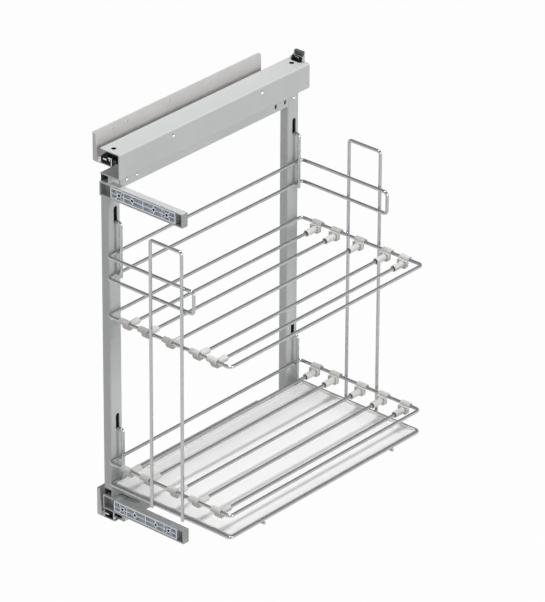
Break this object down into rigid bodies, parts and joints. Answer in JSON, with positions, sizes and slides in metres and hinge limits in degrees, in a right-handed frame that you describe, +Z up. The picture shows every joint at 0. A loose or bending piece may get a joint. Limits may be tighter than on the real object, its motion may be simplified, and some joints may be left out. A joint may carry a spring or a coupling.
{
  "type": "pull-out tray rack",
  "caption": "Pull-out rack on wall-mounted ball runners: a steel frame with door brackets carries a hook-in wire basket with sliding divider rods and a tray.",
  "frame": {"origin": "on the cabinet's side wall, midway between the outer screw holes of the upper profile", "axes": "X from the wall into the cabinet, Y from the front to the back, Z up; the rack pulls out along -Y"},
  "size_m": [0.265, 0.4238, 0.608],
  "materials": {
    "frame_paint": "satin silver-grey powder coat",
    "profile_paint": "satin warm grey powder coat",
    "chrome_wire": "polished",
    "spring_chrome": "polished",
    "runner_steel": "zinc plated",
    "bearing_steel": "polished",
    "rivet_steel": "zinc plated",
    "zinc_casting": "as cast, fine grain",
    "clip_plastic": "satin",
    "black_plastic": "satin",
    "white_panel": "gloss"
  },
  "bodies": {
    "wall_side": {"upper_profile": "profile_paint", "lower_profile": "profile_paint", "profile_rivets": "rivet_steel", "upper_fixed_rail": "runner_steel", "lower_fixed_rail": "runner_steel"},
    "upper_middle": {"upper_middle_rail": "runner_steel"},
    "upper_outer_cage": {"upper_outer_balls": "bearing_steel"},
    "upper_inner_cage": {"upper_inner_balls": "bearing_steel"},
    "lower_middle": {"lower_middle_rail": "runner_steel"},
    "lower_outer_cage": {"lower_outer_balls": "bearing_steel"},
    "lower_inner_cage": {"lower_inner_balls": "bearing_steel"},
    "frame": {"upper_moving_rail": "runner_steel", "lower_moving_rail": "runner_steel", "top_beam": "frame_paint", "lower_beam": "frame_paint", "top_rail": "frame_paint", "bottom_rail": "frame_paint", "front_upright": "frame_paint", "rear_upright": "frame_paint", "foot_plate": "frame_paint", "upper_bracket": "frame_paint", "lower_bracket": "frame_paint", "frame_rivets": "rivet_steel", "beam_rivets": "rivet_steel", "upper_runner_end": "black_plastic", "lower_runner_end": "black_plastic", "rear_catch": "black_plastic", "catch_bow": "spring_chrome"},
    "upper_door_plate": {"upper_connector": "zinc_casting"},
    "lower_door_plate": {"lower_connector": "zinc_casting"},
    "basket": {"side_rails": "chrome_wire", "upper_ring": "chrome_wire", "lower_ring": "chrome_wire", "tray_ring": "chrome_wire", "front_loop": "chrome_wire", "rear_loop": "chrome_wire", "upper_hooks": "chrome_wire", "lower_hooks": "chrome_wire", "tray_bars": "chrome_wire", "tray_panel": "white_panel"},
    "upper_divider_1": {"upper_rod_1": "chrome_wire", "upper_clips_1": "clip_plastic"},
    "upper_divider_2": {"upper_rod_2": "chrome_wire", "upper_clips_2": "clip_plastic"},
    "upper_divider_3": {"upper_rod_3": "chrome_wire", "upper_clips_3": "clip_plastic"},
    "upper_divider_4": {"upper_rod_4": "chrome_wire", "upper_clips_4": "clip_plastic"},
    "upper_divider_5": {"upper_rod_5": "chrome_wire", "upper_clips_5": "clip_plastic"},
    "lower_divider_1": {"lower_rod_1": "chrome_wire", "lower_clips_1": "clip_plastic"},
    "lower_divider_2": {"lower_rod_2": "chrome_wire", "lower_clips_2": "clip_plastic"},
    "lower_divider_3": {"lower_rod_3": "chrome_wire", "lower_clips_3": "clip_plastic"},
    "lower_divider_4": {"lower_rod_4": "chrome_wire", "lower_clips_4": "clip_plastic"},
    "lower_divider_5": {"lower_rod_5": "chrome_wire", "lower_clips_5": "clip_plastic"}
  },
  "joints": [
    {"name": "frame_slide", "type": "slide", "parent": "wall_side", "child": "frame", "axis": [0, -1, 0], "range_m": [0, 0.33]},
    {"name": "upper_middle_slide", "type": "slide", "parent": "wall_side", "child": "upper_middle", "axis": [0, -1, 0], "range_m": [0, 0.165]},
    {"name": "upper_outer_cage_slide", "type": "slide", "parent": "wall_side", "child": "upper_outer_cage", "axis": [0, -1, 0], "range_m": [0, 0.0825]},
    {"name": "upper_inner_cage_slide", "type": "slide", "parent": "wall_side", "child": "upper_inner_cage", "axis": [0, -1, 0], "range_m": [0, 0.2475]},
    {"name": "lower_middle_slide", "type": "slide", "parent": "wall_side", "child": "lower_middle", "axis": [0, -1, 0], "range_m": [0, 0.165]},
    {"name": "lower_outer_cage_slide", "type": "slide", "parent": "wall_side", "child": "lower_outer_cage", "axis": [0, -1, 0], "range_m": [0, 0.0825]},
    {"name": "lower_inner_cage_slide", "type": "slide", "parent": "wall_side", "child": "lower_inner_cage", "axis": [0, -1, 0], "range_m": [0, 0.2475]},
    {"name": "basket_lift", "type": "slide", "parent": "frame", "child": "basket", "axis": [0, 0, 1], "range_m": [0, 0.018]},
    {"name": "upper_door_plate_shift", "type": "slide", "parent": "frame", "child": "upper_door_plate", "axis": [1, 0, 0], "range_m": [-0.016, 0.01]},
    {"name": "lower_door_plate_shift", "type": "slide", "parent": "frame", "child": "lower_door_plate", "axis": [1, 0, 0], "range_m": [-0.016, 0.01]},
    {"name": "upper_divider_1_slide", "type": "slide", "parent": "basket", "child": "upper_divider_1", "axis": [1, 0, 0], "range_m": [-0.005, 0.0075]},
    {"name": "upper_divider_2_slide", "type": "slide", "parent": "basket", "child": "upper_divider_2", "axis": [1, 0, 0], "range_m": [-0.0075, 0.004]},
    {"name": "upper_divider_3_slide", "type": "slide", "parent": "basket", "child": "upper_divider_3", "axis": [1, 0, 0], "range_m": [-0.012, 0.0145]},
    {"name": "upper_divider_4_slide", "type": "slide", "parent": "basket", "child": "upper_divider_4", "axis": [1, 0, 0], "range_m": [-0.0075, 0.006]},
    {"name": "upper_divider_5_slide", "type": "slide", "parent": "basket", "child": "upper_divider_5", "axis": [1, 0, 0], "range_m": [-0.006, 0.009]},
    {"name": "lower_divider_1_slide", "type": "slide", "parent": "basket", "child": "lower_divider_1", "axis": [1, 0, 0], "range_m": [-0.0055, 0.008]},
    {"name": "lower_divider_2_slide", "type": "slide", "parent": "basket", "child": "lower_divider_2", "axis": [1, 0, 0], "range_m": [-0.008, 0.0025]},
    {"name": "lower_divider_3_slide", "type": "slide", "parent": "basket", "child": "lower_divider_3", "axis": [1, 0, 0], "range_m": [-0.015, 0.01]},
    {"name": "lower_divider_4_slide", "type": "slide", "parent": "basket", "child": "lower_divider_4", "axis": [1, 0, 0], "range_m": [-0.0055, 0.0105]},
    {"name": "lower_divider_5_slide", "type": "slide", "parent": "basket", "child": "lower_divider_5", "axis": [1, 0, 0], "range_m": [-0.0105, 0.003]}
  ],
  "couplings": [
    {"joint": "upper_middle_slide", "follows": "frame_slide", "ratio": 0.5},
    {"joint": "upper_outer_cage_slide", "follows": "frame_slide", "ratio": 0.25},
    {"joint": "upper_inner_cage_slide", "follows": "frame_slide", "ratio": 0.75},
    {"joint": "lower_middle_slide", "follows": "frame_slide", "ratio": 0.5},
    {"joint": "lower_outer_cage_slide", "follows": "frame_slide", "ratio": 0.25},
    {"joint": "lower_inner_cage_slide", "follows": "frame_slide", "ratio": 0.75}
  ]
}
